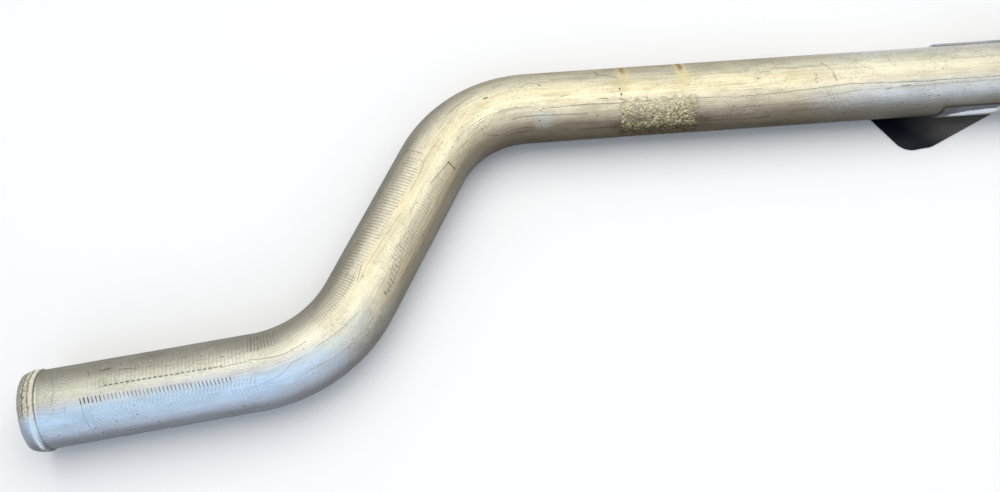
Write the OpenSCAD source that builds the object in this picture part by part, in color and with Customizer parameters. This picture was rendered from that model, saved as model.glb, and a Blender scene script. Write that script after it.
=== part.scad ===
// Bent aluminium coolant pipe with a formed hose bead at each end and a
// pressed steel bracket clipped round its long straight.
// Millimetres. X runs along the long straight, Z is up, the pipe lies on the
// floor at z = 0 and the origin is under the middle of its bounding box.

/* [Tube] */
// outside diameter of the drawn tube
tube_od = 35; // [30:0.5:42]
// wall thickness
tube_wall = 1.8; // [1.2:0.1:3]
// chamfer inside each mouth
mouth_chamfer = 0.6; // [0.2:0.1:0.8]

/* [Route] */
// straight at the short end, from its mouth to the first bend
short_straight = 98.8; // [60:0.1:200]
// centreline radius of the first bend
bend_1_radius = 59.8; // [50:0.1:90]
// angle of the first bend, to the left
bend_1_angle = 55.5; // [20:0.5:85]
// straight between the two bends
middle_straight = 79; // [20:0.5:200]
// centreline radius of the second bend
bend_2_radius = 55.8; // [50:0.1:90]
// angle of the second bend, back to the right
bend_2_angle = 61.6; // [20:0.1:85]
// straight at the long end, from the second bend to its mouth
long_straight = 320; // [290:1:600]

/* [Hose bead] */
// how far the crest of the bead stands off the tube
bead_rise = 1; // [0.5:0.1:1.6]
// length of the bead along the tube, from its crease to the mouth
bead_width = 7.2; // [5:0.1:12]
// how much smaller the lip is than the crest, in radius
bead_fall = 1.3; // [0.6:0.1:1.6]

/* [Bracket] */
// sheet thickness of the bracket
sheet = 1.2; // [0.8:0.1:2]
// gap left between the cradle and the tube
seat_gap = 0.05; // [0:0.01:0.2]
// where the cradle starts along the long straight, from the second bend
cradle_start = 211; // [200:1:215]
// length of the cradle along the tube
cradle_length = 58; // [40:1:62]
// how far the cradle climbs past the middle of the tube at the front, in degrees
cradle_front_rise = 7; // [0:1:20]
// how far the cradle climbs past the middle of the tube at the back, in degrees
cradle_back_rise = 38; // [28:1:45]
// where the foot starts under the tube, from the second bend
foot_start = 176; // [170:1:182]
// how far the foot reaches out from the axis of the tube
foot_reach = 29.4; // [26:0.1:36]
// how far the upright tab stands out from the cradle
tab_height = 16; // [10:1:24]
// width of the tab along the tube
tab_width = 20; // [14:1:26]
// corner radius of the tab
tab_corner = 4; // [2:0.5:6]

/* [Hidden] */
$fn = 96;

tube_r = tube_od / 2;
bore_r = tube_r - tube_wall;
crest_r = tube_r + bead_rise;
lip_r = crest_r - bead_fall;
crest_at = bead_width - bead_rise;
// radius of the arc that rounds the bead off from its crest to the lip
bead_arc = (crest_at * crest_at + bead_fall * bead_fall) / (2 * bead_fall);
axis_z = tube_r + max(seat_gap + sheet, bead_rise);

// headings of the three straights, in degrees from +X
middle_heading = bend_2_angle;
short_heading = bend_2_angle - bend_1_angle;

function ahead(a) = [cos(a), sin(a)];
function left(a) = [-sin(a), cos(a)];

// the route, worked back from the end of the second bend at [0, 0]
bend_2_centre = -bend_2_radius * left(0);
middle_end = bend_2_centre + bend_2_radius * left(middle_heading);
middle_start = middle_end - middle_straight * ahead(middle_heading);
bend_1_centre = middle_start + bend_1_radius * left(middle_heading);
short_end = bend_1_centre - bend_1_radius * left(short_heading);
short_mouth = short_end - short_straight * ahead(short_heading);

// the tab is rooted this many degrees inside the cradle's back edge
tab_inset = 3;
tab_turn = cradle_back_rise - tab_inset;

// extent of the whole part on the floor, which fixes the origin
x_low = short_mouth[0] - lip_r * sin(short_heading);
x_high = long_straight;
y_low = short_mouth[1] + crest_at * sin(short_heading)
    - (crest_r - bead_arc) * cos(short_heading) - bead_arc;
y_high = max(crest_r, (tube_r + tab_height) * cos(tab_turn) + sheet / 2 * sin(tab_turn));
middle = [(x_low + x_high) / 2, (y_low + y_high) / 2];

// outline of the foot: two corner rounds and the straights that run off them,
// each leaning this many degrees from the square
heel_r = 9.8;
heel_from = 23.8;
heel_lean = 32.4;
toe_r = 12;
toe_from = 30;
toe_short = 0.8;
toe_lean = 25.2;
heel_at = [foot_start + heel_from, heel_r - foot_reach];
toe_at = [foot_start + toe_from, toe_r - foot_reach + toe_short];

// the bends are drawn a hair smaller than the straights, which run into them a little
bend_draw = 0.04;
lap = 0.1;
clear = 1;

function on_round(at, r, a) = at + r * ahead(a);

// where a straight that leaves a round at angle a meets the tube's centre line
function run_off(at, r, a) =
    [at[0] + r * cos(a) + (at[1] + r * sin(a)) * tan(a), 0];

module straight(at, heading, length, r, before, after) {
    translate([at[0], at[1], axis_z])
        rotate([0, 0, heading])
            translate([-before, 0, 0])
                rotate([0, 90, 0])
                    cylinder(h = before + length + after, r = r);
}

module bend(centre, radius, from, angle, r) {
    translate([centre[0], centre[1], axis_z])
        rotate([0, 0, from])
            rotate_extrude(angle = angle)
                translate([radius, 0])
                    circle(r = r - bend_draw);
}

// the tube's route as a solid rod of radius r, running past its mouths by the given length
module route(r, past) {
    straight(short_mouth, short_heading, short_straight, r, past, lap);
    bend(bend_1_centre, bend_1_radius, short_heading - 90, bend_1_angle, r);
    straight(middle_start, middle_heading, middle_straight, r, lap, lap);
    bend(bend_2_centre, bend_2_radius, 90, bend_2_angle, r);
    straight([0, 0], 0, long_straight, r, lap, past);
}

// a bead ring with its mouth at z = 0
module bead() {
    inner = bore_r - clear;
    rotate_extrude() {
        intersection() {
            translate([crest_r - bead_arc, crest_at])
                circle(r = bead_arc);
            translate([inner, 0])
                square([crest_r - inner + clear, crest_at]);
        }
        intersection() {
            translate([tube_r, crest_at])
                circle(r = bead_rise);
            translate([tube_r, crest_at])
                square([bead_rise, bead_rise]);
        }
    }
}

module mouth_cut() {
    translate([0, 0, -clear])
        cylinder(h = clear + mouth_chamfer, r1 = bore_r + mouth_chamfer + clear, r2 = bore_r);
}

module at_mouth(at, heading) {
    translate([at[0], at[1], axis_z])
        rotate([0, 0, heading])
            rotate([0, 90, 0])
                children();
}

module pipe() {
    color("silver")
        translate([-middle[0], -middle[1], 0])
            difference() {
                union() {
                    route(tube_r, -crest_at);
                    at_mouth(short_mouth, short_heading) bead();
                    at_mouth([long_straight, 0], 180) bead();
                }
                route(bore_r, clear);
                at_mouth(short_mouth, short_heading) mouth_cut();
                at_mouth([long_straight, 0], 180) mouth_cut();
            }
}

module foot() {
    translate([0, 0, axis_z - tube_r - seat_gap - sheet])
        linear_extrude(sheet) {
            translate(heel_at) circle(r = heel_r);
            translate(toe_at) circle(r = toe_r);
            polygon([
                run_off(heel_at, heel_r, 180 + heel_lean),
                on_round(heel_at, heel_r, 180 + heel_lean),
                on_round(heel_at, heel_r, 270),
                on_round(toe_at, toe_r, 270),
                on_round(toe_at, toe_r, 270 + toe_lean),
                run_off(toe_at, toe_r, 270 + toe_lean)
            ]);
        }
}

module cradle() {
    translate([cradle_start, 0, axis_z])
        rotate([0, 90, 0])
            rotate([0, 0, -90 - cradle_front_rise])
                rotate_extrude(angle = 180 + cradle_front_rise + cradle_back_rise)
                    translate([tube_r + seat_gap, 0])
                        square([sheet, cradle_length]);
}

module tab() {
    translate([cradle_start + cradle_length - tab_width, 0, axis_z])
        rotate([tab_turn, 0, 0])
            translate([0, tube_r + sheet / 2, -sheet / 2])
                linear_extrude(sheet)
                    tab_outline(tab_height - sheet / 2);
}

module tab_outline(height) {
    square([tab_width, height - tab_corner]);
    translate([tab_corner, 0])
        square([tab_width - 2 * tab_corner, height]);
    for (x = [tab_corner, tab_width - tab_corner])
        translate([x, height - tab_corner])
            circle(r = tab_corner);
}

module mounting_bracket() {
    color("dimgray")
        translate([-middle[0], -middle[1], 0]) {
            foot();
            cradle();
            tab();
        }
}

pipe();
mounting_bracket();
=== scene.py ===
import math

import bmesh
import bpy
from mathutils import Matrix, Vector, noise


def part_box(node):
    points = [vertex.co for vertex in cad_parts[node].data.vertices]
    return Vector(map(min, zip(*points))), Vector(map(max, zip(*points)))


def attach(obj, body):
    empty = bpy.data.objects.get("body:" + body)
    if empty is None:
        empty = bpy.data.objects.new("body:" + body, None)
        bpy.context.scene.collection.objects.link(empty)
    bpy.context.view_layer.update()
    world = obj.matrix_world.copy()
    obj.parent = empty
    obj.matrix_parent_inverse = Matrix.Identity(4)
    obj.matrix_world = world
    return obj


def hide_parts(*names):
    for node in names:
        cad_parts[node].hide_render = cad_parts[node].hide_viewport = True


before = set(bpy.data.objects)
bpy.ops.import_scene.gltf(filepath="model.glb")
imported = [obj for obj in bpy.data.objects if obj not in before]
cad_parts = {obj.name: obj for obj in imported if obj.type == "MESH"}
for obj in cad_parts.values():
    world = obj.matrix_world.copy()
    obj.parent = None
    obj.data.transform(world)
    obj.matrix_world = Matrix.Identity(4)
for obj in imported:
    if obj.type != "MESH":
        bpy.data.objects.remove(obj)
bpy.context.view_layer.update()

MM = 0.001
TURN = 2 * math.pi

# ---------------- sizes, as in the CAD source

TUBE_R = 17.5 * MM
BORE_R = 15.7 * MM
MOUTH_CHAMFER = 0.6 * MM
BEAD_RISE = 1.0 * MM
BEAD_WIDTH = 7.2 * MM
BEAD_FALL = 1.3 * MM
SHEET = 1.2 * MM
SEAT_GAP = 0.05 * MM

SHORT_STRAIGHT = 98.8 * MM
BEND_1_R, BEND_1 = 59.8 * MM, math.radians(55.5)
MIDDLE_STRAIGHT = 79.0 * MM
BEND_2_R, BEND_2 = 55.8 * MM, math.radians(-61.6)
LONG_STRAIGHT = 320.0 * MM

AXIS_Z = TUBE_R + SEAT_GAP + SHEET

# distances along the tube from its short mouth
BEND_1_FROM = SHORT_STRAIGHT
BEND_1_TO = BEND_1_FROM + BEND_1_R * BEND_1
BEND_2_FROM = BEND_1_TO + MIDDLE_STRAIGHT
BEND_2_TO = BEND_2_FROM - BEND_2_R * BEND_2
TUBE_LENGTH = BEND_2_TO + LONG_STRAIGHT

# the band where a hose clamp sat for years, and the pitch of the bending die's teeth
CLAMP_FROM = 341.5 * MM
CLAMP_TO = 375 * MM
TOOTH = 1.67 * MM


# ---------------- the route

def ahead(heading):
    return Vector((math.cos(heading), math.sin(heading), 0))


def left(heading):
    return Vector((-math.sin(heading), math.cos(heading), 0))


def route_legs():
    """The five legs of the route: where each starts, its heading there, its length and its bend radius."""
    long_mouth = Vector((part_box("pipe")[1].x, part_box("pipe")[1].y - TUBE_R - BEAD_RISE, AXIS_Z))
    corner_2 = long_mouth - LONG_STRAIGHT * ahead(0)
    heading_2 = -BEND_2
    centre_2 = corner_2 - BEND_2_R * left(0)
    leave_2 = centre_2 + BEND_2_R * left(heading_2)
    corner_1 = leave_2 - MIDDLE_STRAIGHT * ahead(heading_2)
    heading_1 = heading_2 - BEND_1
    centre_1 = corner_1 + BEND_1_R * left(heading_2)
    leave_1 = centre_1 - BEND_1_R * left(heading_1)
    mouth = leave_1 - SHORT_STRAIGHT * ahead(heading_1)
    return [
        (mouth, heading_1, SHORT_STRAIGHT, 0),
        (leave_1, heading_1, BEND_1_TO - BEND_1_FROM, BEND_1_R),
        (corner_1, heading_2, MIDDLE_STRAIGHT, 0),
        (leave_2, heading_2, BEND_2_TO - BEND_2_FROM, -BEND_2_R),
        (corner_2, 0, LONG_STRAIGHT, 0),
    ]


LEGS = route_legs()


def on_route(distance):
    """Place on the centreline and heading, at a distance along the tube."""
    for start, heading, length, radius in LEGS[:-1]:
        if distance <= length:
            break
        distance -= length
    else:
        start, heading, length, radius = LEGS[-1]
    if radius == 0:
        return start + distance * ahead(heading), heading
    turned = heading + distance / radius
    return start + radius * (left(heading) - left(turned)), turned


def bend(stock):
    """Moves a point of the straight stock, which lies along X, to its place on the bent tube."""
    place, heading = on_route(stock.x)
    return place + stock.y * left(heading) + Vector((0, 0, stock.z))


def add_piece(name, bm):
    """A finished bmesh as an object of the scene, at the origin."""
    mesh = bpy.data.meshes.new(name)
    bm.to_mesh(mesh)
    bm.free()
    piece = bpy.data.objects.new(name, mesh)
    bpy.context.scene.collection.objects.link(piece)
    return piece


# ---------------- the pipe's skin

AROUND = 132
WELD = 0.001 * MM
LIP_STEP = 0.25 * MM
LEAST_WORKED = 0.1 * MM


def stations(start, end, pitch):
    """Distances between start and end at about that pitch, without the two ends."""
    count = max(1, round((end - start) / pitch))
    return [start + (end - start) * i / count for i in range(1, count)]


def bead_outline():
    """The short end's outline from the bore to the crease behind the bead, as distance and radius."""
    crest_r = TUBE_R + BEAD_RISE
    lip_r = crest_r - BEAD_FALL
    crest_at = BEAD_WIDTH - BEAD_RISE
    crown_r = (crest_at ** 2 + BEAD_FALL ** 2) / (2 * BEAD_FALL)
    outline = [(MOUTH_CHAMFER, BORE_R), (0, BORE_R + MOUTH_CHAMFER), (0, lip_r - LIP_STEP)]
    for at in [0.08 * MM, 0.3 * MM] + stations(0.3 * MM, crest_at, 0.4 * MM) + [crest_at]:
        outline.append((at, crest_r - crown_r + math.sqrt(crown_r ** 2 - (crest_at - at) ** 2)))
    # a quarter round from the crest down to the crease
    for step in range(1, 7):
        turned = math.radians(15 * step)
        outline.append((crest_at + BEAD_RISE * math.sin(turned), TUBE_R + BEAD_RISE * math.cos(turned)))
    return outline


# stretches of the outside and how closely each is stationed: closest where the surface is worked or corroded
OUTSIDE = [
    (BEAD_WIDTH, 24 * MM, 1.4 * MM),
    (24 * MM, 116 * MM, TOOTH / 3),
    (116 * MM, BEND_1_TO, 1.6 * MM),
    (BEND_1_TO, 230 * MM, TOOTH / 3),
    (230 * MM, BEND_2_TO, 1.4 * MM),
    (BEND_2_TO, CLAMP_FROM - 3 * MM, 2.5 * MM),
    (CLAMP_FROM - 3 * MM, CLAMP_TO + 7 * MM, 0.42 * MM),
    (CLAMP_TO + 7 * MM, TUBE_LENGTH - BEAD_WIDTH, 4 * MM),
]

# the same for the bore, from the long end back
BORE = [
    (TUBE_LENGTH - MOUTH_CHAMFER, BEND_2_TO, 20 * MM),
    (BEND_2_TO, BEND_2_FROM, 2.4 * MM),
    (BEND_2_FROM, BEND_1_TO, 20 * MM),
    (BEND_1_TO, BEND_1_FROM, 2.4 * MM),
    (BEND_1_FROM, MOUTH_CHAMFER, 20 * MM),
]


def pipe_outline():
    """The whole closed outline of the straight stock: out over both beads and back along the bore."""
    short_end = bead_outline()
    outside = []
    for start, end, pitch in OUTSIDE:
        outside += [(at, TUBE_R) for at in stations(start, end, pitch) + [end]]
    long_end = [(TUBE_LENGTH - at, r) for at, r in reversed(short_end)]
    bore = []
    for start, end, pitch in BORE:
        bore += [(at, BORE_R) for at in stations(start, end, -pitch) + [end]]
    return short_end + outside[:-1] + long_end + bore[:-1]


def window(value, start, end, soft):
    """1 between start and end, falling smoothly to 0 over soft outside them."""
    rise = min(max((value - start) / soft + 1, 0), 1)
    fall = min(max((end - value) / soft + 1, 0), 1)
    edge = min(rise, fall)
    return edge * edge * (3 - 2 * edge)


def clamp_corrosion(at, side):
    """How corroded the clamp's band is there, from 0 to 1: worst in front and below, clean on top."""
    along = window(at, CLAMP_FROM + 1.5 * MM, CLAMP_TO + 2 * MM, 2 * MM)
    front = window(side, 40, 128, 14)
    below = 0.55 * max(window(side, 128, 200, 20), window(side, -200, -112, 26))
    return along * max(front, below)


# where the bending die's teeth gripped: from and to along in mm and how far it fades out, from and to
# round in degrees and how far it fades out, and how hard
GRIPS = [
    (27, 92, 4, 16, 46, 5, 1.0),
    (99, 113, 3, -44, -14, 6, 1.0),
    (163, 226, 3, -44, -2, 6, 1.0),
    (166, 222, 4, 12, 52, 6, 0.8),
]
TOOTH_DEPTH = 0.04


def relief(at, around):
    """How far the outside stands off its drawn size, in metres, at a distance along and an angle round."""
    side = math.degrees(around)
    spot = Vector((at, -TUBE_R * math.sin(around), TUBE_R * math.cos(around))) / MM
    height = 0.05 * noise.noise(spot / 17) + 0.012 * noise.noise(spot / 4)

    tooth = 0.5 + 0.5 * math.cos(TURN * at / TOOTH)
    gripped = 0
    for from_, to, fade, from_side, to_side, side_fade, force in GRIPS:
        grip = force * window(at, from_ * MM, to * MM, fade * MM)
        gripped += grip * window(side, from_side, to_side, side_fade)
    height -= TOOTH_DEPTH * gripped * tooth

    # the beads are lumpy with corrosion over their upper half, and nowhere stand past their drawn size
    for mouth in (at, TUBE_LENGTH - at):
        sheen = window(mouth, 0, BEAD_WIDTH, 1 * MM)
        if sheen:
            upper = 0.25 + 0.75 * window(side, -130, 20, 25)
            lumps = noise.noise(spot / 2.6) + 0.7 * noise.noise(spot / 1.1)
            pit = max(0, noise.noise(spot / 1.7 + Vector((9, 4, 2))))
            height += sheen * (upper * (0.22 * (lumps - 0.8) - 0.3 * pit) - 0.08)

    # crevice corrosion under the clamp: blunt crusts with deep pits between them
    rot = clamp_corrosion(at, side)
    if rot:
        crust = noise.noise(spot / 1.25) + 0.6 * noise.noise(spot / 0.62)
        pit = max(0, noise.noise(spot / 1.9 + Vector((3, 7, 5))) - 0.05)
        height += rot * (0.16 * crust - 0.75 * pit - 0.1)
    return height * MM


def make_pipe():
    """The tube, spun as straight stock with its relief and then bent along the route."""
    bm = bmesh.new()
    outline = [bm.verts.new((at, 0, -r)) for at, r in pipe_outline()]
    edges = [bm.edges.new(pair) for pair in zip(outline, outline[1:] + outline[:1])]
    bmesh.ops.spin(bm, geom=outline + edges, cent=(0, 0, 0), axis=(1, 0, 0), angle=TURN, steps=AROUND,
                   use_merge=True, use_duplicate=False)
    bmesh.ops.remove_doubles(bm, verts=bm.verts, dist=WELD)
    bmesh.ops.recalc_face_normals(bm, faces=bm.faces)

    # every point keeps its place on the stock, and the bore takes the second finish
    stock = bm.loops.layers.uv.new("stock")
    bore_below = (TUBE_R + BORE_R) / 2 - 0.2 * MM
    for face in bm.faces:
        face.smooth = True
        sides = [math.atan2(-loop.vert.co.y, loop.vert.co.z) / TURN + 0.5 for loop in face.loops]
        over_seam = max(sides) - min(sides) > 0.5
        for loop, side in zip(face.loops, sides):
            loop[stock].uv = loop.vert.co.x / TUBE_LENGTH, side + (over_seam and side < 0.5)
        radius = sum(Vector(loop.vert.co.yz).length for loop in face.loops) / 4
        face.material_index = int(radius < bore_below)

    for vert in bm.verts:
        at, radius = vert.co.x, Vector(vert.co.yz).length
        around = math.atan2(-vert.co.y, vert.co.z)
        if radius > BORE_R + MOUTH_CHAMFER + LEAST_WORKED:
            radius += relief(at, around)
        vert.co = bend(Vector((at, -radius * math.sin(around), radius * math.cos(around))))

    pipe = add_piece("bent_pipe", bm)
    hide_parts("pipe")
    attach(pipe, "root")
    return pipe


# ---------------- the bracket

CRADLE_FROM, CRADLE_TO = 211 * MM, 269 * MM
CRADLE_FRONT, CRADLE_BACK = math.radians(83), math.radians(308)
FOOT_REACH = 29.4 * MM
HEEL_AT, HEEL_R, HEEL_LEAN = 199.8 * MM, 9.8 * MM, math.radians(32.4)
TOE_AT, TOE_R, TOE_SHORT, TOE_LEAN = 206 * MM, 12 * MM, 0.8 * MM, math.radians(25.2)
TAB_WIDTH, TAB_HEIGHT, TAB_CORNER, TAB_TURN = 20 * MM, 16 * MM, 4 * MM, math.radians(35)
EDGE_ROUND = 0.3 * MM
SHARP = math.radians(40)


def arc_points(centre, radius, from_, to, steps):
    """Points round an arc, with angles in radians."""
    turns = [from_ + (to - from_) * i / steps for i in range(steps + 1)]
    return [(centre[0] + radius * math.cos(turn), centre[1] + radius * math.sin(turn)) for turn in turns]


def foot_outline():
    """From under the tube out round the heel and the toe and back, as distance along and across."""
    left_side, down = math.pi, 1.5 * math.pi
    heel = arc_points((HEEL_AT, HEEL_R - FOOT_REACH), HEEL_R, left_side + HEEL_LEAN, down, 12)
    toe = arc_points((TOE_AT, TOE_R - FOOT_REACH + TOE_SHORT), TOE_R, down, down + TOE_LEAN, 6)
    heel_root = heel[0][0] + heel[0][1] * math.tan(left_side + HEEL_LEAN)
    toe_root = toe[-1][0] + toe[-1][1] * math.tan(down + TOE_LEAN)
    return [(heel_root, 0)] + heel + toe + [(toe_root, 0)]


def tab_outline():
    """The tab's outline as distance along and out from the tube's axis."""
    low, high = CRADLE_TO - TAB_WIDTH, CRADLE_TO
    root, top = TUBE_R + SHEET / 2, TUBE_R + TAB_HEIGHT
    quarter = math.pi / 2
    far_round = arc_points((high - TAB_CORNER, top - TAB_CORNER), TAB_CORNER, 0, quarter, 8)
    near_round = arc_points((low + TAB_CORNER, top - TAB_CORNER), TAB_CORNER, quarter, 2 * quarter, 8)
    return [(low, root), (high, root)] + far_round + near_round


def add_plate(bm, outline, place):
    """A flat plate of the sheet's thickness with that outline, put in place by a matrix."""
    face = bm.faces.new([bm.verts.new((x, y, 0)) for x, y in outline])
    thick = bmesh.ops.extrude_face_region(bm, geom=[face])["geom"]
    raised = [item for item in thick if isinstance(item, bmesh.types.BMVert)]
    bmesh.ops.translate(bm, verts=raised, vec=(0, 0, SHEET))
    bmesh.ops.transform(bm, matrix=place, verts=list(face.verts) + raised)


def add_cradle(bm):
    """The sheet's section swept from the cradle's front edge under the tube to its back edge."""
    inner, outer = TUBE_R + SEAT_GAP, TUBE_R + SEAT_GAP + SHEET
    corners = [(CRADLE_FROM, inner), (CRADLE_TO, inner), (CRADLE_TO, outer), (CRADLE_FROM, outer)]
    start = [bm.verts.new((at, -r * math.sin(CRADLE_FRONT), r * math.cos(CRADLE_FRONT))) for at, r in corners]
    section = [bm.edges.new(pair) for pair in zip(start, start[1:] + start[:1])]
    swept = bmesh.ops.spin(bm, geom=start + section, cent=(0, 0, 0), axis=(1, 0, 0),
                           angle=CRADLE_BACK - CRADLE_FRONT, steps=60, use_merge=False)
    end = [item for item in swept["geom_last"] if isinstance(item, bmesh.types.BMEdge)]
    bmesh.ops.contextual_create(bm, geom=section)
    bmesh.ops.contextual_create(bm, geom=end)


def make_bracket():
    """The cradle, the foot under it and the tab behind it, with every sheet edge rounded a little."""
    bend_end = on_route(BEND_2_TO)[0]
    floor_place = Matrix.Translation((bend_end.x, bend_end.y, 0))
    axis_place = Matrix.Translation((bend_end.x, bend_end.y, AXIS_Z))

    bm = bmesh.new()
    add_cradle(bm)
    bmesh.ops.transform(bm, matrix=axis_place, verts=bm.verts)
    add_plate(bm, foot_outline(), floor_place)
    add_plate(bm, tab_outline(), axis_place @ Matrix.Rotation(TAB_TURN, 4, "X")
              @ Matrix.Translation((0, 0, -SHEET / 2)))
    bmesh.ops.recalc_face_normals(bm, faces=bm.faces)
    sharp = [edge for edge in bm.edges if edge.calc_face_angle(0) > SHARP]
    bmesh.ops.bevel(bm, geom=sharp, offset=EDGE_ROUND, offset_type="OFFSET", segments=2, profile=0.5,
                    affect="EDGES", material=-1)
    for face in bm.faces:
        face.smooth = True

    bracket = add_piece("clip_bracket", bm)
    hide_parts("mounting_bracket")
    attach(bracket, "root")
    return bracket


# ---------------- finishes

class Finish:
    """A material being mixed: short calls that add a node and hand back its output."""

    def __init__(self, name):
        self.material = bpy.data.materials.new(name)
        self.material.use_nodes = True
        self.tree = self.material.node_tree
        self.shader = self.tree.nodes["Principled BSDF"]

    def node(self, kind):
        return self.tree.nodes.new("ShaderNode" + kind)

    def give(self, name, value):
        """Sets one of the shader's own sockets, to a plain value or an output."""
        self.put(self.shader.inputs[name], value)

    def put(self, socket, value):
        if isinstance(value, bpy.types.NodeSocket):
            self.tree.links.new(value, socket)
        else:
            socket.default_value = value

    def calc(self, operation, *terms, clamp=False):
        node = self.node("Math")
        node.operation = operation
        node.use_clamp = clamp
        for socket, term in zip(node.inputs, terms):
            self.put(socket, term)
        return node.outputs[0]

    def line(self, value, slope, start, clamp=False):
        """value * slope + start"""
        return self.calc("MULTIPLY_ADD", value, slope, start, clamp=clamp)

    def both(self, *masks):
        total = masks[0]
        for mask in masks[1:]:
            total = self.calc("MULTIPLY", total, mask)
        return total

    def most(self, *masks):
        total = masks[0]
        for mask in masks[1:]:
            total = self.calc("MAXIMUM", total, mask)
        return total

    def less(self, value, amount):
        return self.calc("SUBTRACT", value, amount)

    def off(self, value, middle):
        """How far a value is from a middle, either way."""
        return self.calc("ABSOLUTE", self.less(value, middle))

    def stir(self, value, cloud, amount):
        """A value pushed up and down by a cloud."""
        return self.line(self.less(cloud, 0.5), amount, value)

    def ramp(self, value, start, end, low=0.0, high=1.0):
        """From low at start to high at end, easing in and out."""
        node = self.node("MapRange")
        node.interpolation_type = "SMOOTHSTEP"
        terms = {"Value": value, "From Min": start, "From Max": end, "To Min": low, "To Max": high}
        for name, term in terms.items():
            self.put(node.inputs[name], term)
        return node.outputs[0]

    def between(self, value, start, end, soft):
        return self.both(self.ramp(value, start - soft, start), self.ramp(value, end + soft, end))

    def stretched(self, vector, scale):
        node = self.node("VectorMath")
        node.operation = "MULTIPLY"
        self.put(node.inputs[0], vector)
        node.inputs[1].default_value = scale
        return node.outputs[0]

    def mottle(self, vector, scale, detail=3.0, roughness=0.55):
        """Cloudy noise from 0 to 1; scale is in lumps a millimetre, one number or one for each axis."""
        node = self.node("TexNoise")
        node.inputs["Detail"].default_value = detail
        node.inputs["Roughness"].default_value = roughness
        if isinstance(scale, tuple):
            vector, scale = self.stretched(vector, scale), 1.0
        self.put(node.inputs["Vector"], vector)
        node.inputs["Scale"].default_value = scale
        return node.outputs["Fac"]

    def cells(self, vector, scale):
        """Distance to the nearest of a scatter of points."""
        node = self.node("TexVoronoi")
        if isinstance(scale, tuple):
            vector, scale = self.stretched(vector, scale), 1.0
        self.put(node.inputs["Vector"], vector)
        node.inputs["Scale"].default_value = scale
        return node.outputs["Distance"]

    def veins(self, cloud, level, width):
        """Thin wandering lines where a cloud passes a level."""
        return self.ramp(self.off(cloud, level), width, width * 0.3)

    def blend(self, amount, colour_a, colour_b, way="MIX"):
        node = self.node("Mix")
        node.data_type = "RGBA"
        node.blend_type = way
        # a colour Mix node keeps its factor first and its two colours seventh and eighth
        for place, term in ((0, amount), (6, colour_a), (7, colour_b)):
            plain = isinstance(term, (bpy.types.NodeSocket, float))
            self.put(node.inputs[place], term if plain else (*term, 1))
        return node.outputs[2]

    def round_the_tube(self, turns, stops):
        """A colour that changes round the tube; stops are degrees from the top and a colour, and the first,
        on the underside, is also the last."""
        node = self.node("ValToRGB")
        band = node.color_ramp
        band.interpolation = "B_SPLINE"
        for degrees, colour in stops[1:]:
            band.elements.new(degrees / 360 + 0.5).color = (*colour, 1)
        band.elements[0].color = band.elements[len(stops)].color = (*stops[0][1], 1)
        self.put(node.inputs[0], turns)
        return node.outputs[0]

    def stock_place(self):
        """Where a point was on the straight stock: its place in millimetres, the distance along, the distance
        round from the top, positive on the right-hand side, and the share of a turn from the underside."""
        uv = self.node("UVMap")
        uv.uv_map = "stock"
        split = self.node("SeparateXYZ")
        self.put(split.inputs[0], uv.outputs[0])
        along = self.calc("MULTIPLY", split.outputs[0], TUBE_LENGTH / MM)
        angle = self.calc("MULTIPLY", self.less(split.outputs[1], 0.5), TURN)
        side = self.calc("MULTIPLY", self.calc("SINE", angle), -TUBE_R / MM)
        up = self.calc("MULTIPLY", self.calc("COSINE", angle), TUBE_R / MM)
        join = self.node("CombineXYZ")
        for socket, term in zip(join.inputs, (along, side, up)):
            self.put(socket, term)
        return join.outputs[0], along, self.calc("MULTIPLY", angle, TUBE_R / MM), split.outputs[1]

    def bump(self, height, depth, strength=1.0, under=None):
        """Height is 0 to 1, depth in millimetres."""
        node = self.node("Bump")
        node.inputs["Strength"].default_value = strength
        node.inputs["Distance"].default_value = depth * MM
        self.put(node.inputs["Height"], height)
        if under:
            self.put(node.inputs["Normal"], under)
        return node.outputs[0]


def arc(degrees):
    """Millimetres round the tube for an angle."""
    return math.radians(degrees) * TUBE_R / MM


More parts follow.
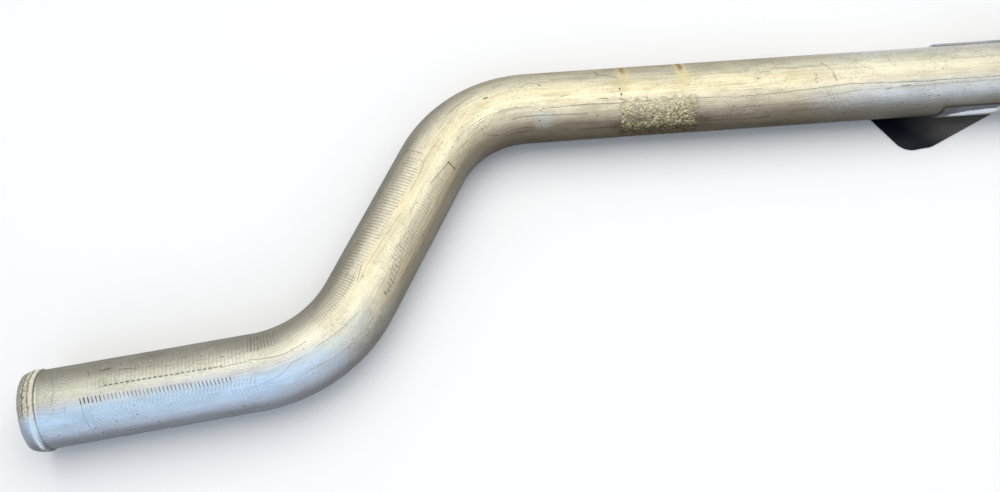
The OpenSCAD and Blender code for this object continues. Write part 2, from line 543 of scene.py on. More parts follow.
# scratches and draw lines that run along the tube: width in mm, how dark, and the points each runs
# through, as distance along and angle round from the top
LONG_MARKS = [
    (0.5, 0.55, [(219, 27), (225.5, 32), (233.5, 37)]),
    (0.3, 0.5, [(215, 51), (222, 51), (232, 52)]),
    (0.4, 0.45, [(211, 6), (218.5, 6), (226.5, 3), (234, 3), (242, 6)]),
    (0.3, 0.35, [(159, 4), (167.5, 2), (182.5, 5), (197.5, 9)]),
    (0.3, 0.6, [(262, 39), (266, 56), (275, 67)]),
    (0.5, 0.55, [(257, -14), (263, -16), (270, -16)]),
    (0.4, 0.5, [(161, 49), (171, 49), (179, 45)]),
    (0.3, 0.5, [(178.5, 49), (185.5, 46)]),
    (0.3, 0.6, [(168.5, 40), (174.5, 36)]),
    (0.3, 0.6, [(169.5, 62), (176.5, 63), (185, 61)]),
    (0.35, 0.5, [(159.5, 0), (167, -5)]),
    (0.3, 0.5, [(190.5, 44), (201, 44), (210.5, 43)]),
    (0.3, 0.5, [(194.5, 58), (203.5, 59), (214.5, 54)]),
    (0.3, 0.5, [(199.5, 22), (207.5, 21)]),
    (0.35, 0.55, [(307, 34), (324.5, 32), (339.5, 34), (351, 31)]),
    (0.35, 0.5, [(352, 33), (374.5, 33), (400, 37)]),
    (0.35, 0.6, [(401, 36), (423, 35), (456.5, 28), (490.5, 32), (600, 31)]),
    (0.5, 0.5, [(285.5, 46), (291, 45), (303, 45), (317.5, 47), (324.5, 47)]),
    (0.3, 0.45, [(401, 54), (426.5, 52), (461, 39), (560, 37)]),
    (0.3, 0.5, [(293, -6), (297.5, -13), (300, -10)]),
    (0.35, 0.6, [(312.5, 17), (314.5, 16), (316, 14)]),
    (0.4, 0.7, [(331, 24), (335, 25)]),
    (0.35, 0.6, [(306.5, -32), (326.5, -28), (331, -30)]),
    (0.35, 0.6, [(331.5, -22), (336, -18), (341, -11)]),
    (0.4, 0.5, [(324.5, 75), (339.5, 76)]),
    (0.3, 0.6, [(419.5, -11), (429, -6), (439.5, -9)]),
    (0.4, 0.6, [(411, -3), (416.5, -3)]),
    (0.3, 0.5, [(464, 1), (469, 6)]),
    (0.4, 0.8, [(474, 41), (477, 40)]),
    (0.4, 0.8, [(482.5, 37), (486.5, 37)]),
    (0.5, 0.8, [(410.5, 79), (416.5, 74)]),
    (0.35, 0.6, [(402, 84), (408, 93)]),
    (0.3, 0.5, [(510, -4), (534, -5), (566, -8)]),
    (0.3, 0.5, [(87.5, 5), (100.5, 2), (113, 7), (124, 6)]),
    (0.6, 0.7, [(36, -25), (39, -27)]),
    (0.5, 0.5, [(42.5, -21), (46.5, -21), (50.5, -16)]),
    (0.3, 0.4, [(103.5, 38), (109.5, 34), (115, 24), (119, 23)]),
    (0.3, 0.5, [(243, 40), (252, 43), (268, 42)]),
    (0.3, 0.45, [(246, 28), (270, 27), (296, 30)]),
    (0.3, 0.45, [(120, 45), (135, 50), (150, 50)]),
    (0.3, 0.4, [(126, 20), (148, 26)]),
    (0.35, 0.4, [(138, -9), (150, -7), (163, -9)]),
    (0.35, 0.35, [(141, -21), (162, -19)]),
    (0.3, 0.35, [(137, -33), (158, -32)]),
    (0.3, 0.4, [(172, 54), (188, 51), (206, 52), (226, 51)]),
    (0.3, 0.35, [(180, 68), (205, 67), (229, 62)]),
    (0.3, 0.3, [(186, 36), (204, 35), (220, 36)]),
]

# marks across the tube, and spots, in the same terms
CROSS_MARKS = [
    (0.4, 0.75, [(231.5, -38), (231, -8)]),
    (0.65, 1, [(233.5, 37), (233, 54)]),
    (0.5, 0.85, [(330.5, -36), (331.5, -21)]),
    (0.8, 0.9, [(301.5, -9), (302.5, -6)]),
    (0.8, 0.85, [(274, -1), (275.5, -1)]),
    (0.7, 0.9, [(341.5, 10), (341.5, 12)]),
    (0.8, 0.95, [(342, 19), (342, 21)]),
    (0.5, 0.8, [(341, 27), (342.5, 29)]),
    (1.1, 0.8, [(439.5, 5), (439.5, 21)]),
    (1.2, 0.7, [(444, -12), (447.5, -2)]),
    (1.1, 0.7, [(448, 1), (449.5, 20)]),
    (0.35, 0.6, [(471, 30), (472.5, 35)]),
    (0.3, 0.45, [(27, 18), (27.2, 40), (28.5, 67)]),
    (0.4, 0.22, [(20, 19), (19.5, 35)]),
    (0.7, 0.6, [(93, 70), (93.5, 72)]),
    (0.4, 0.38, [(13.5, -31), (15.5, -14), (15.8, 0), (14.6, 16)]),
    (0.35, 0.6, [(29.5, -31), (31, -16)]),
]

PITCH = TOOTH / MM

# rows of tooth marks: from and to along, angle round at each, half their height in mm, pitch,
# how long each mark is as a share of the pitch, their slant, and how dark the first and last are
TOOTH_ROWS = [
    (27, 36, 17, 18, 1.3, PITCH, 0.28, -0.12, 0.95, 0.75),
    (36, 91, 18, 24, 1.25, PITCH, 0.22, -0.16, 0.5, 0.72),
    (36, 87, 1, 3, 0.28, 2.35, 0.6, 0.0, 0.85, 0.75),
    (163, 227, -30, -20, 3.0, PITCH, 0.24, 0.0, 0.62, 0.4),
    (165, 222, -13, -9, 2.8, PITCH, 0.24, 0.0, 0.26, 0.42),
    (160, 176, -36, -36, 6.0, 1.25, 0.35, 0.5, 0.4, 0.1),
    (176, 224, 38, 44, 3.2, PITCH, 0.45, 0.15, 0.34, 0.3),
    (170, 220, 19, 30, 3.4, PITCH, 0.45, 0.2, 0.14, 0.14),
    (160, 183, 49, 42, 1.5, 2.3, 0.55, 0.3, 0.62, 0.4),
    (99, 113, -28, -28, 4.6, PITCH, 0.32, 0.0, 0.5, 0.25),
    (30, 98, -10, -10, 4.4, PITCH, 0.35, 0.0, 0.1, 0.14),
    (28, 100, 30, 31, 1.6, PITCH, 0.35, 0.45, 0.12, 0.3),
    (36, 100, 42, 44, 2.0, PITCH, 0.35, -0.35, 0.1, 0.2),
    (30, 50, 54, 52, 2.6, 1.9, 0.35, -0.9, 0.3, 0.05),
    (236, 262, 4, 0, 4.5, 1.9, 0.35, 0.5, 0.12, 0.06),
    (133, 161, -24, -24, 6.4, 1.45, 0.4, 0.1, 0.16, 0.34),
]

# burnished tooth rows beside the dark ones, partly a painted highlight on their ridges, in the same terms
BRIGHT_ROWS = [
    (28, 100, 29, 31, 2.4, PITCH, 0.3, 0.45, 0.35, 0.75),
    (32, 100, 42, 44, 2.4, PITCH, 0.3, -0.35, 0.3, 0.5),
    (163, 226, -24, -15, 5.8, PITCH, 0.3, 0.0, 0.34, 0.3),
    (168, 222, 28, 38, 6.0, PITCH, 0.3, 0.1, 0.3, 0.28),
    (136, 162, -16, -16, 4.6, 1.45, 0.3, 0.1, 0.2, 0.34),
]


def layers_of(marks):
    """The marks sorted into layers, so that no two in a layer are abreast of each other."""
    layers = []
    for mark in sorted(marks, key=lambda mark: mark[2][0][0]):
        start = mark[2][0][0]
        for layer in layers:
            points = sum(len(held[2]) + 2 for held in layer)
            if layer[-1][2][-1][0] < start - 2 and start - layer[0][2][0][0] < 230 and points < 26:
                layer.append(mark)
                break
        else:
            layers.append([mark])
    return layers


def long_marks(finish, along, round_):
    """0 to 1, dark in a line along the tube. Each layer's lines are held in one colour ramp along the tube:
    red is the angle round, green how dark the line is and blue its width."""
    total = 0.0
    for layer in layers_of(LONG_MARKS):
        first, last = layer[0][2][0][0] - 1, max(mark[2][-1][0] for mark in layer) + 1
        share = finish.line(along, 1 / (last - first), -first / (last - first))
        node = finish.node("ValToRGB")
        band = node.color_ramp
        band.interpolation = "LINEAR"
        stops = []
        for width, dark, points in layer:
            angles = [(angle + 90) / 180 for _, angle in points]
            stops.append((points[0][0] - 0.8, (angles[0], 0, width, 1)))
            stops += [(at, (angle, dark, width, 1)) for (at, _), angle in zip(points, angles)]
            stops.append((points[-1][0] + 0.8, (angles[-1], 0, width, 1)))
        stops = [((at - first) / (last - first), colour) for at, colour in stops]
        for place, colour in stops[1:-1]:
            band.elements.new(place).color = colour
        band.elements[0].position, band.elements[0].color = stops[0]
        end = band.elements[len(stops) - 1]
        end.position, end.color = stops[-1]
        finish.put(node.inputs[0], share)
        split = finish.node("SeparateColor")
        finish.put(split.inputs[0], node.outputs[0])
        middle = finish.line(split.outputs[0], arc(180), arc(-90))
        off = finish.off(round_, middle)
        width = split.outputs[2]
        mark = finish.ramp(finish.calc("DIVIDE", off, width), 0.8, 0.2)
        total = finish.most(total, finish.calc("MULTIPLY", mark, split.outputs[1]))
    return total


def cross_marks(finish, along, round_):
    """0 to 1, dark in a mark across the tube or a spot."""
    total = 0.0
    for width, dark, points in CROSS_MARKS:
        for (from_, from_side), (to, to_side) in zip(points, points[1:]):
            start = Vector((from_, arc(from_side)))
            run = Vector((to, arc(to_side))) - start
            x = finish.less(along, start.x)
            y = finish.less(round_, start.y)
            share = finish.calc("MULTIPLY", y, run.y / run.length_squared)
            share = finish.line(x, run.x / run.length_squared, share)
            share = finish.calc("MINIMUM", finish.calc("MAXIMUM", share, 0.0), 1.0)
            off_x = finish.line(share, -run.x, x)
            off_y = finish.line(share, -run.y, y)
            far = finish.line(off_x, off_x, finish.calc("MULTIPLY", off_y, off_y))
            mark = finish.ramp(far, (width * 0.8) ** 2, (width * 0.2) ** 2, 0.0, dark)
            total = finish.most(total, mark)
    return total


def tooth_marks(finish, along, round_, rows):
    """0 to 1, in a tooth mark of those rows."""
    total = 0.0
    for from_, to, from_side, to_side, half, pitch, length, slant, first, last in rows:
        middle = finish.ramp(along, from_, to, arc(from_side), arc(to_side))
        off = finish.less(round_, middle)
        row = finish.ramp(finish.calc("ABSOLUTE", off), half + 0.4, half - 0.4)
        darkness = finish.ramp(along, from_, to, first, last)
        row = finish.both(row, finish.between(along, from_, to, 1.0), darkness)
        phase = finish.line(off, slant, along)
        beat = finish.calc("COSINE", finish.calc("MULTIPLY", phase, TURN / pitch))
        edge = math.cos(math.pi * length)
        total = finish.most(total, finish.both(row, finish.ramp(beat, edge - 0.25, edge + 0.2)))
    return total


# the oxide and grime round the tube, with painted highlights, painted blue sky reflections and painted shade
# below, as degrees from the top, positive in front, and colour: on the short straight, the middle one, the
# long one and its far end
SHORT_FILM_AND_LIGHT = [
    (-180, (0.12, 0.13, 0.14)), (-110, (0.12, 0.116, 0.108)), (-58, (0.259, 0.245, 0.208)),
    (-38, (0.351, 0.319, 0.259)), (-18, (0.501, 0.477, 0.398)), (2, (0.808, 0.805, 0.677)),
    (16, (0.634, 0.611, 0.581)), (30, (0.625, 0.795, 0.97)), (48, (0.652, 0.809, 0.97)),
    (62, (0.556, 0.629, 0.787)), (77, (0.252, 0.265, 0.279)), (96, (0.231, 0.238, 0.273)),
    (115, (0.165, 0.171, 0.195)),
]
MIDDLE_FILM_AND_LIGHT = [
    (-180, (0.1, 0.09, 0.07)), (-110, (0.125, 0.123, 0.116)), (-58, (0.239, 0.251, 0.228)),
    (-38, (0.316, 0.259, 0.175)), (-18, (0.97, 0.918, 0.746)), (2, (0.655, 0.597, 0.423)),
    (16, (0.778, 0.734, 0.533)), (30, (0.97, 0.902, 0.686)), (48, (0.895, 0.775, 0.548)),
    (62, (0.275, 0.24, 0.165)), (77, (0.285, 0.256, 0.197)), (96, (0.156, 0.14, 0.128)),
    (115, (0.117, 0.099, 0.086)),
]
LONG_FILM_AND_LIGHT = [
    (-180, (0.09, 0.08, 0.06)), (-110, (0.143, 0.128, 0.111)), (-58, (0.314, 0.302, 0.288)),
    (-38, (0.503, 0.421, 0.259)), (-18, (0.97, 0.928, 0.747)), (2, (0.652, 0.603, 0.409)),
    (16, (0.856, 0.766, 0.558)), (30, (0.97, 0.902, 0.66)), (48, (0.848, 0.703, 0.517)),
    (62, (0.257, 0.213, 0.16)), (77, (0.219, 0.183, 0.135)), (96, (0.087, 0.067, 0.037)),
    (115, (0.079, 0.063, 0.033)),
]
FAR_FILM_AND_LIGHT = [
    (-180, (0.1, 0.1, 0.09)), (-110, (0.45, 0.43, 0.39)), (-58, (0.933, 0.93, 0.97)),
    (-38, (0.723, 0.688, 0.647)), (-18, (0.97, 0.942, 0.782)), (2, (0.937, 0.892, 0.69)),
    (16, (0.811, 0.749, 0.571)), (30, (0.97, 0.91, 0.751)), (48, (0.905, 0.933, 0.97)),
    (62, (0.37, 0.377, 0.38)), (77, (0.215, 0.189, 0.158)), (96, (0.143, 0.129, 0.103)),
    (115, (0.107, 0.1, 0.088)),
]

# shades that the film is multiplied by
GRAIN_SHADE = (0.62, 0.6, 0.54)
PATCH_SHADE = (0.68, 0.67, 0.62)
PATCH_GLOW = (1.1, 1.1, 1.09)
STREAK_SHADE = (0.52, 0.5, 0.44)
DRAWN_SHADE = (0.55, 0.53, 0.46)
BEAD_SHADE = (0.62, 0.57, 0.6)

# dirt, stains and bare metal, and painted highlights, a painted sky reflection, painted light and painted
# shade
DRAW_DIRT = (0.15, 0.13, 0.1)
PIT_DIRT = (0.036, 0.026, 0.012)
CRUST = (0.86, 0.77, 0.46)
CRUST_GRIME_AND_SHADE = (0.07, 0.044, 0.02)
YELLOW_STAIN = (0.9, 0.76, 0.36)
BROWN_STAIN = (0.14, 0.085, 0.035)
BROWN_SMEAR = (0.1, 0.07, 0.04)
MARK_DARK = (0.03, 0.026, 0.022)
BEAD_CRUST = (0.95, 0.88, 0.7)
BEAD_RIM = (0.4, 0.39, 0.35)
BEAD_DIRT = (0.12, 0.09, 0.055)
BEAD_CREST_HIGHLIGHT = (1.0, 0.95, 0.76)
BEAD_LOWER_HIGHLIGHT = (0.8, 0.9, 1.0)
BEAD_SHOULDER_LIGHT = (0.95, 0.92, 0.82)
CREASE_SHADE = (0.1, 0.09, 0.07)
BURNISH_AND_HIGHLIGHT = (0.93, 0.93, 0.86)
SKY_GLINT = (0.8, 0.9, 0.97)


class AluminiumFinish(Finish):
    """Drawn aluminium, dulled and yellowed above, grimed below, with highlights, sky reflections and shade
    painted into its colour round the tube, and the marks, stains and corrosion of use.
    Each layer is painted over the one before. Places are in millimetres along the stock and round it."""

    def __init__(self):
        super().__init__("weathered_aluminium")
        self.spot, self.along, self.round_, self.turns = self.stock_place()
        spot = self.spot
        self.drawn = self.mottle(spot, (0.01, 2.0, 2.0), 4.0, 0.7)
        self.streaky = self.mottle(spot, (0.03, 0.85, 0.85), 4.0, 0.72)
        self.fine_lines = self.mottle(spot, (0.025, 4.0, 4.0), 2.0, 0.6)
        self.clouds = self.mottle(spot, 0.06, 5.0, 0.6)
        self.patches = self.mottle(spot, (0.06, 0.16, 0.16), 5.0, 0.68)
        self.speckle = self.mottle(spot, 0.9, 4.0, 0.7)
        self.grain = self.mottle(spot, (0.9, 2.2, 2.2), 3.0, 0.7)

        # the base colour round the tube: oxide and grime with painted highlights, sky reflections and shade
        self.colour = self.film_and_light = self.film_and_light_colour()
        self.low = self.ramp(self.off(self.round_, arc(10)), arc(45), arc(95))
        self.paint_streaks()
        self.paint_tide_lines()
        self.paint_glint()
        teeth, marks = self.paint_marks()
        ring = self.paint_stain_rings()
        self.paint_smear()
        rot, crevice = self.paint_clamp_band()
        lumps, bead, bead_worn, shoulder = self.paint_beads()
        self.give("Base Color", self.colour)

        dull = self.most(self.both(rot, 1.15), marks, self.both(bead_worn, 0.7), self.both(bead, 0.3),
                         shoulder, self.both(self.low, 0.7), ring)
        self.give("Metallic", self.ramp(dull, 0.0, 1.0, 0.92, 0.12))
        rough = self.stir(self.ramp(self.clouds, 0.3, 0.7, 0.42, 0.52), self.drawn, 0.25)
        self.give("Roughness", self.line(dull, 0.25, rough, clamp=True))
        self.give("Specular IOR Level", 0.2)

        normal = self.bump(self.drawn, 0.2, 0.6)
        normal = self.bump(self.streaky, 0.3, 0.5, normal)
        normal = self.bump(self.fine_lines, 0.08, 0.5, normal)
        normal = self.bump(self.speckle, 0.12, 0.5, normal)
        normal = self.bump(self.less(1.0, teeth), 0.25, 0.8, normal)
        normal = self.bump(self.both(lumps, bead_worn), 2.0, 1.0, normal)
        normal = self.bump(self.both(self.less(1.0, crevice), rot), 0.5, 1.0, normal)
        self.give("Normal", normal)

    def paint(self, amount, colour, way="MIX"):
        self.colour = self.blend(amount, self.colour, colour, way)

    def film_and_light_colour(self):
        """The oxide and grime round the tube, with its painted highlights, blue sky reflections and shade,
        which changes along the tube.
        """
        wander = self.stir(self.along, self.clouds, 60.0)
        short = self.round_the_tube(self.turns, SHORT_FILM_AND_LIGHT)
        middle = self.round_the_tube(self.turns, MIDDLE_FILM_AND_LIGHT)
        long = self.round_the_tube(self.turns, LONG_FILM_AND_LIGHT)
        far = self.round_the_tube(self.turns, FAR_FILM_AND_LIGHT)
        colour = self.blend(self.ramp(wander, 100.0, 172.0), short, middle)
        colour = self.blend(self.ramp(wander, 235.0, 300.0), colour, long)
        return self.blend(self.ramp(wander, 420.0, 480.0), colour, far)

    def paint_streaks(self):
        """Grain, cloudy oxide and the dark streaks of the drawing die, strongest on the long straight."""
        along, round_, patches = self.along, self.round_, self.patches
        streak_zone = self.both(self.ramp(along, 215.0, 290.0, 0.22, 1.0),
                                self.ramp(along, 400.0, 480.0, 1.0, 0.55))
        clean = self.both(self.between(round_, arc(16), arc(80), arc(8)), self.ramp(along, 130.0, 95.0))
        self.dirty = self.ramp(clean, 0.0, 1.0, 1.0, 0.35)
        self.paint(self.ramp(self.grain, 0.38, 0.62, 0.22, 0.0), GRAIN_SHADE, "MULTIPLY")
        self.paint(self.both(self.ramp(patches, 0.46, 0.66), self.ramp(streak_zone, 0.0, 1.0, 0.3, 0.5)),
                   PATCH_SHADE, "MULTIPLY")
        self.paint(self.ramp(patches, 0.5, 0.36, 0.0, 0.5), PATCH_GLOW, "MULTIPLY")
        front_low = self.ramp(round_, arc(45), arc(90))
        streaks = self.both(self.ramp(self.streaky, 0.48, 0.7), streak_zone)
        self.paint(self.both(streaks, self.ramp(front_low, 0.0, 1.0, 0.36, 0.9)), STREAK_SHADE, "MULTIPLY")
        streaks = self.both(self.ramp(self.drawn, 0.5, 0.64), streak_zone)
        self.paint(self.both(streaks, self.ramp(front_low, 0.0, 1.0, 0.32, 0.7)), DRAWN_SHADE, "MULTIPLY")
        thin = self.both(self.ramp(self.fine_lines, 0.58, 0.68), self.ramp(patches, 0.42, 0.56), streak_zone)
        self.paint(self.both(thin, 0.4), DRAW_DIRT)

    def paint_tide_lines(self):
        """Wandering drying lines with burnished edges, here and there and beside the short mouth."""
        cloud = self.mottle(self.spot, (0.2, 0.34, 0.34), 5.0, 0.68)
        place = self.most(self.ramp(self.mottle(self.spot, 0.045, 2.0), 0.46, 0.56),
                          self.ramp(self.along, 26.0, 18.0))
        self.paint(self.both(self.veins(cloud, 0.5, 0.016), place, self.dirty, 0.42), DRAW_DIRT)
        edge = self.both(self.veins(cloud, 0.53, 0.014), place, self.ramp(self.low, 0.3, 0.0), 0.35)
        self.paint(edge, BURNISH_AND_HIGHLIGHT)

    def paint_glint(self):
        """A painted highlight: a soft pale blue spot past the second bend."""
        x = self.both(self.less(self.along, 303.0), 0.9)
        y = self.less(self.round_, arc(52))
        off = self.line(x, x, self.both(y, y))
        glint = self.both(self.ramp(off, 40.0, 0.0, 0.0, 0.22), self.ramp(self.streaky, 0.35, 0.6, 0.3, 1.0))
        # painted highlight, in the pale blue of a sky reflection
        self.paint(glint, SKY_GLINT)

    def paint_marks(self):
        """Tooth marks, scratches, pits and flecks. Hands back the tooth marks and all the marks."""
        spot, along, round_ = self.spot, self.along, self.round_
        broken = self.ramp(self.mottle(spot, 0.3, 3.0), 0.28, 0.5, 0.35, 1.0)
        bright = self.both(tooth_marks(self, along, round_, BRIGHT_ROWS), broken)
        # burnished tooth rows, partly a painted highlight on their ridges
        self.paint(self.both(bright, 0.55), BURNISH_AND_HIGHLIGHT)
        woven = self.ramp(self.mottle(spot, (0.35, 1.6, 1.6), 2.0), 0.4, 0.55, 0.15, 1.0)
        whole = self.most(woven, self.ramp(round_, arc(12), arc(4)), self.ramp(along, 130.0, 120.0))
        teeth = self.both(tooth_marks(self, along, round_, TOOTH_ROWS), broken, whole)
        wavy = self.stir(round_, self.mottle(spot, 0.22, 3.0), 1.0)
        dotted = self.most(self.ramp(self.mottle(spot, 1.1, 2.0), 0.47, 0.57), self.ramp(along, 420.0, 415.0))
        across = self.both(cross_marks(self, along, wavy),
                           self.ramp(self.grain, 0.42, 0.54, 0.3, 1.0), dotted)
        lines = self.both(long_marks(self, along, wavy), self.ramp(self.speckle, 0.25, 0.5, 0.35, 1.0))
        lines = self.most(lines, across)
        pits = self.both(self.ramp(self.cells(spot, (0.22, 0.4, 0.4)), 0.15, 0.07),
                         self.ramp(self.mottle(spot, 0.05, 2.0), 0.48, 0.58), 0.75)
        flecks = self.both(self.ramp(self.cells(spot, (0.3, 0.95, 0.95)), 0.2, 0.08),
                           self.ramp(self.mottle(spot, 0.07, 3.0), 0.5, 0.62), self.dirty, 0.55)
        marks = self.most(teeth, lines, pits, flecks)
        self.paint(marks, MARK_DARK)
        return teeth, marks

    def paint_stain_rings(self):
        """Rings at the clamp's two edges, strongest on top, where they turn from yellow to brown, and faded
        on the far side."""
        self.wobble = self.stir(self.along, self.mottle(self.spot, 0.25, 3.0), 2.5)
        rings = []
        dark_rings = []
        for edge, width, strength in ((CLAMP_FROM / MM + 2.8, 5.0, 0.62), (CLAMP_TO / MM - 1.6, 4.6, 0.8)):
            off = self.off(self.wobble, edge)
            rings.append(self.ramp(off, width, 0.0, 0.0, strength))
            dark_rings.append(self.ramp(off, width * 0.5, 0.0, 0.0, strength))
        faded = self.ramp(self.stir(self.round_, self.patches, 16.0), arc(-125), arc(-62), 0.12, 1.0)
        on_top = self.both(self.ramp(self.round_, arc(36), arc(-16)),
                           self.ramp(self.speckle, 0.25, 0.5, 0.7, 1.0), faded)
        ring = self.both(self.most(*rings), on_top)
        self.paint(self.both(ring, 0.8), YELLOW_STAIN)
        browner = self.both(self.most(*dark_rings), self.ramp(self.round_, arc(-8), arc(-32)), faded)
        self.paint(browner, BROWN_STAIN)
        return ring

    def paint_smear(self):
        """A brown smear low down, either side of the clamp."""
        smear = self.both(self.between(self.wobble, CLAMP_FROM / MM - 2.0, CLAMP_TO / MM + 9.0, 6.0),
                          self.between(self.round_, arc(72), arc(120), arc(14)))
        self.paint(self.both(smear, 0.5), BROWN_SMEAR)

    def paint_clamp_band(self):
        """Pale crusts with dark crevices winding between them. Hands back the band and its crevices."""
        round_ = self.round_
        ragged = self.mottle(self.spot, 0.35, 5.0, 0.65)
        ragged_along = self.stir(self.along, ragged, 9.0)
        ragged_round = self.stir(round_, ragged, 11.0)
        band = self.between(ragged_along, CLAMP_FROM / MM + 1.5, CLAMP_TO / MM + 3.5, 2.2)
        front = self.between(ragged_round, arc(36), arc(128), arc(9))
        from_top = self.calc("ABSOLUTE", ragged_round)
        below = self.both(self.ramp(from_top, arc(112), arc(135)), 0.6)
        rot = self.both(band, self.most(front, below))
        shape = self.mottle(self.spot, (0.7, 1.3, 1.3), 3.0, 0.62)
        worms = self.veins(shape, 0.47, 0.036)
        deep = self.ramp(shape, 0.43, 0.35)
        fewer_above = self.ramp(round_, arc(32), arc(66), 0.58, 0.0)
        crevice = self.ramp(self.less(self.most(worms, deep), fewer_above), 0.32, 0.6)
        crust = self.blend(0.45, CRUST, self.film_and_light)
        crust = self.blend(self.ramp(self.speckle, 0.46, 0.62), crust, CRUST)
        # the crust darkens towards the underside: grime and painted shade
        crust = self.blend(self.ramp(from_top, arc(66), arc(88), 0.0, 0.9), crust, CRUST_GRIME_AND_SHADE)
        crust = self.blend(self.both(crevice, 0.96), crust, PIT_DIRT)
        shown = self.most(self.ramp(self.mottle(self.spot, 0.15, 3.0), 0.42, 0.58, 0.3, 1.0),
                          self.ramp(round_, arc(58), arc(78)))
        self.paint(self.both(rot, shown, 0.95), crust)
        return rot, crevice

    def paint_beads(self):
        """Crust and dirt on the beads, worst above, with a painted highlight on the crest and below it,
        painted light on the shoulder and painted shade in the crease. Hands back their lumps, the beads,
        their crusted upper half and the lit shoulder before the crease."""
        round_ = self.round_
        from_mouth = self.calc("MINIMUM", self.along, self.less(TUBE_LENGTH / MM, self.along))
        lumps = self.mottle(self.spot, 0.55, 5.0, 0.65)
        bead_at = self.stir(from_mouth, lumps, 2.2)
        bead = self.ramp(from_mouth, BEAD_WIDTH / MM + 0.2, BEAD_WIDTH / MM - 0.4)
        above = self.ramp(round_, arc(40), arc(14))
        bead_worn = self.both(bead, above)
        self.paint(self.both(bead_worn, 0.75), BEAD_CRUST)
        shade = self.both(bead, self.ramp(round_, arc(26), arc(44)), self.ramp(bead_at, 5.2, 3.0), 0.7)
        self.paint(shade, BEAD_SHADE, "MULTIPLY")
        rim = self.both(bead, self.ramp(bead_at, 2.4, 1.6))
        self.paint(self.both(rim, self.ramp(above, 0.0, 1.0, 0.35, 0.75)), BEAD_RIM)
        groove = self.both(bead_worn, self.ramp(self.off(bead_at, 2.6), 0.5, 0.1))
        spots = self.both(bead_worn, self.most(self.ramp(lumps, 0.44, 0.34), self.veins(lumps, 0.56, 0.025)))
        under_crest = self.both(self.ramp(self.off(bead_at, 4.9), 0.42, 0.12), bead_worn, 0.75)
        self.paint(self.both(self.most(groove, spots, under_crest), 0.85), BEAD_DIRT)
        # painted highlight along the crest of the bead's upper half
        self.paint(self.both(bead_worn, self.ramp(self.off(bead_at, 6.0), 0.6, 0.25)), BEAD_CREST_HIGHLIGHT)
        # painted highlight along the lower half of the bead, pale blue like a sky reflection
        lower_highlight = self.both(self.ramp(self.off(from_mouth, 5.5), 1.3, 0.1),
                          self.between(round_, arc(30), arc(78), arc(14)), 0.8)
        self.paint(lower_highlight, BEAD_LOWER_HIGHLIGHT)
        # painted light on the shoulder before the crease, lifting its shade
        shoulder = self.ramp(self.off(from_mouth, 6.8), 0.42, 0.3)
        self.paint(self.both(shoulder, above, 0.85), BEAD_SHOULDER_LIGHT)
        # painted shade in the crease behind the bead
        crease = self.off(from_mouth, BEAD_WIDTH / MM + 0.05)
        self.paint(self.ramp(crease, 0.24, 0.05, 0.0, 0.35), CREASE_SHADE)
        return lumps, bead, bead_worn, shoulder


CHALK = (0.42, 0.41, 0.38)
CHALK_DARK = (0.26, 0.24, 0.2)
CHALK_SPECK = (0.6, 0.58, 0.52)


def bore_finish():
    """The inside: dull, chalky aluminium with coolant stains."""
    finish = Finish("stained_bore")
    spot = finish.stock_place()[0]
    clouds = finish.mottle(spot, 0.12, 5.0, 0.65)
    speckle = finish.mottle(spot, 0.8, 4.0, 0.7)
    colour = finish.blend(finish.ramp(clouds, 0.35, 0.65), CHALK, CHALK_DARK)
    colour = finish.blend(finish.ramp(speckle, 0.5, 0.7, 0.0, 0.6), colour, CHALK_SPECK)
    finish.give("Base Color", colour)
    finish.give("Metallic", 0.6)
    finish.give("Roughness", finish.ramp(speckle, 0.3, 0.7, 0.45, 0.7))
    finish.give("Normal", finish.bump(speckle, 0.3, 0.6))
    return finish.material


STEEL = (0.56, 0.58, 0.6)
STEEL_ROLLED = (0.36, 0.36, 0.35)
STEEL_SPECK = (0.16, 0.14, 0.12)
STEEL_DARKER = (0.15, 0.14, 0.12)
LIP_SHADE = (0.085, 0.09, 0.105)
LIP_HIGHLIGHT = (0.84, 0.9, 0.96)
PAINT = (0.004, 0.006, 0.013)
PAINT_SHEEN = (0.105, 0.1, 0.09)
PAINT_SPECK = (0.13, 0.12, 0.11)
STEEL_ROUGH, PAINT_ROUGH = (0.42, 0.42, 0.42), (0.34, 0.34, 0.34)


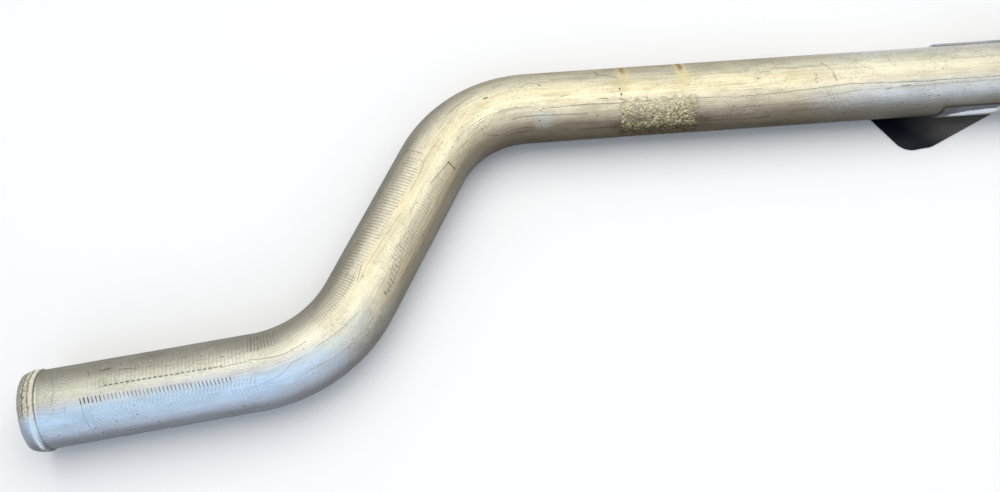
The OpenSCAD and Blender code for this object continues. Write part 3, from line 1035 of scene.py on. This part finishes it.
def bracket_finish():
    """Black paint, lightened grey towards the far end of the foot by a painted sheen, over a cradle rubbed
    down to bare steel.
    """
    finish = Finish("worn_black_paint")
    place = finish.node("TexCoord").outputs["Object"]
    spot = finish.stretched(place, (1 / MM, 1 / MM, 1 / MM))
    split = finish.node("SeparateXYZ")
    finish.put(split.inputs[0], spot)
    bend_end = on_route(BEND_2_TO)[0] / MM
    along = finish.less(split.outputs[0], bend_end.x)
    across = finish.less(split.outputs[1], bend_end.y)
    up = finish.less(split.outputs[2], AXIS_Z / MM)
    radius = finish.calc("SQRT", finish.line(across, across, finish.both(up, up)))

    clouds = finish.mottle(spot, 0.1, 4.0, 0.6)
    speckle = finish.mottle(spot, 0.8, 4.0, 0.7)
    rolled = finish.mottle(spot, (0.05, 1.5, 1.5), 4.0, 0.65)

    on_tube = finish.both(finish.ramp(radius, (TUBE_R + SEAT_GAP + SHEET) / MM + 0.35, (TUBE_R + SHEET) / MM),
                          finish.ramp(up, -17.4, -17.0))
    steel = finish.blend(finish.ramp(rolled, 0.35, 0.65), STEEL, STEEL_ROLLED)
    steel = finish.blend(finish.ramp(speckle, 0.56, 0.7, 0.0, 0.7), steel, STEEL_SPECK)
    ragged = finish.mottle(spot, (0.12, 0.6, 0.6), 4.0, 0.65)
    lip_from = finish.stir(along, ragged, 14.0)
    rising = finish.line(finish.less(along, 217.0), -0.16, up)
    lip_up = finish.stir(rising, ragged, 5.0)
    # darker on the front of the cradle at its near end
    darker_front = finish.both(finish.ramp(across, -14.0, -16.0), finish.ramp(lip_from, 220.0, 216.0))
    steel = finish.blend(finish.both(darker_front, 0.85), steel, STEEL_DARKER)
    in_front = finish.ramp(across, -15.5, -17.0)
    # painted highlight along the cradle's front lip, over the bare steel
    lip_highlight = finish.both(in_front, finish.between(lip_up, -7.0, -3.0, 0.7),
                             finish.between(lip_from, 218.0, 238.0, 2.0))
    # painted shadow in the gap between the cradle's lip and the tube
    lip_shade = finish.both(in_front, finish.ramp(lip_up, -3.0, -2.0), 0.85)
    steel = finish.blend(lip_shade, steel, LIP_SHADE)
    steel = finish.blend(finish.both(lip_highlight, 0.85), steel, LIP_HIGHLIGHT)

    # painted sheen: the black paint turns grey towards the far end of the foot
    diagonal = finish.line(across, 0.9, finish.line(clouds, 8.0, along))
    sheen = finish.ramp(diagonal, 184.0, 212.0)
    paint = finish.blend(finish.both(sheen, 0.95), PAINT, PAINT_SHEEN)
    paint = finish.blend(finish.ramp(speckle, 0.62, 0.72, 0.0, 0.5), paint, PAINT_SPECK)
    finish.give("Base Color", finish.blend(on_tube, paint, steel))
    # less metallic under the lip's painted shadow and on the darker front of the cradle
    dirty = finish.less(1.0, finish.most(lip_shade, darker_front))
    finish.give("Metallic", finish.both(on_tube, dirty, 0.9))
    rough = finish.stir(finish.blend(on_tube, PAINT_ROUGH, STEEL_ROUGH), clouds, 0.25)
    finish.give("Roughness", finish.line(sheen, 0.15, rough))
    finish.give("Specular IOR Level", 0.12)
    normal = finish.bump(rolled, 0.1, 0.4)
    finish.give("Normal", finish.bump(speckle, 0.1, 0.4, normal))
    return finish.material


# ---------------- camera and stage

CAMERA_AT = Vector((-78.6, -216.9, 450.95)) * MM
CAMERA_DOWN, CAMERA_SWING, CAMERA_ROLL = math.radians(64.44), math.radians(4.38), math.radians(0.21)
LENS_MM, SENSOR_MM = 36.28, 36.0
CENTRE = (0, 0, 0)
FLOOR_HALF = 4


def add_camera():
    """Looks steeply down on the pipe from in front, a little left of its middle."""
    lens = bpy.data.cameras.new("camera")
    lens.lens = LENS_MM
    lens.sensor_width = SENSOR_MM
    camera = bpy.data.objects.new("camera", lens)
    bpy.context.scene.collection.objects.link(camera)
    turn = (Matrix.Rotation(-CAMERA_SWING, 4, "Z")
            @ Matrix.Rotation(math.pi / 2 - CAMERA_DOWN, 4, "X")
            @ Matrix.Rotation(-CAMERA_ROLL, 4, "Z"))
    camera.matrix_world = Matrix.Translation(CAMERA_AT) @ turn
    bpy.context.scene.camera = camera


def add_lamp(name, at, aim, size, power, colour):
    """A soft box at a place, turned to its aim; its size in metres and its power in watts."""
    data = bpy.data.lights.new(name, "AREA")
    data.shape = "RECTANGLE"
    data.size, data.size_y = size
    data.energy = power
    data.color = colour
    lamp = bpy.data.objects.new(name, data)
    at, aim = Vector(at), Vector(aim)
    lamp.matrix_world = Matrix.Translation(at) @ (aim - at).to_track_quat("-Z", "Y").to_matrix().to_4x4()
    bpy.context.scene.collection.objects.link(lamp)


def add_stage():
    """A white paper floor under an even sky, a warm soft box overhead and a cool one low in front."""
    bm = bmesh.new()
    bmesh.ops.create_grid(bm, x_segments=1, y_segments=1, size=FLOOR_HALF)
    floor = add_piece("floor", bm)
    paper = Finish("floor_paper")
    paper.give("Base Color", (0.96, 0.96, 0.96, 1))
    paper.give("Roughness", 0.9)
    paper.give("Specular IOR Level", 0.2)
    floor.data.materials.append(paper.material)

    world = bpy.data.worlds.new("studio")
    bpy.context.scene.world = world
    world.use_nodes = True
    sky = world.node_tree.nodes["Background"]
    sky.inputs["Color"].default_value = (0.9, 0.94, 1.0, 1)
    sky.inputs["Strength"].default_value = 0.55
    add_lamp("overhead", (0.0, 0.24, 0.95), CENTRE, (1.3, 1.15), 7.2, (1.0, 0.96, 0.88))
    add_lamp("front_fill", (-0.1, -0.9, 0.75), CENTRE, (1.6, 0.7), 3.0, (0.64, 0.8, 1.0))


add_camera()
add_stage()
bpy.context.scene.view_settings.view_transform = "Standard"

pipe = make_pipe()
pipe.data.materials.append(AluminiumFinish().material)
pipe.data.materials.append(bore_finish())
bracket = make_bracket()
bracket.data.materials.append(bracket_finish())
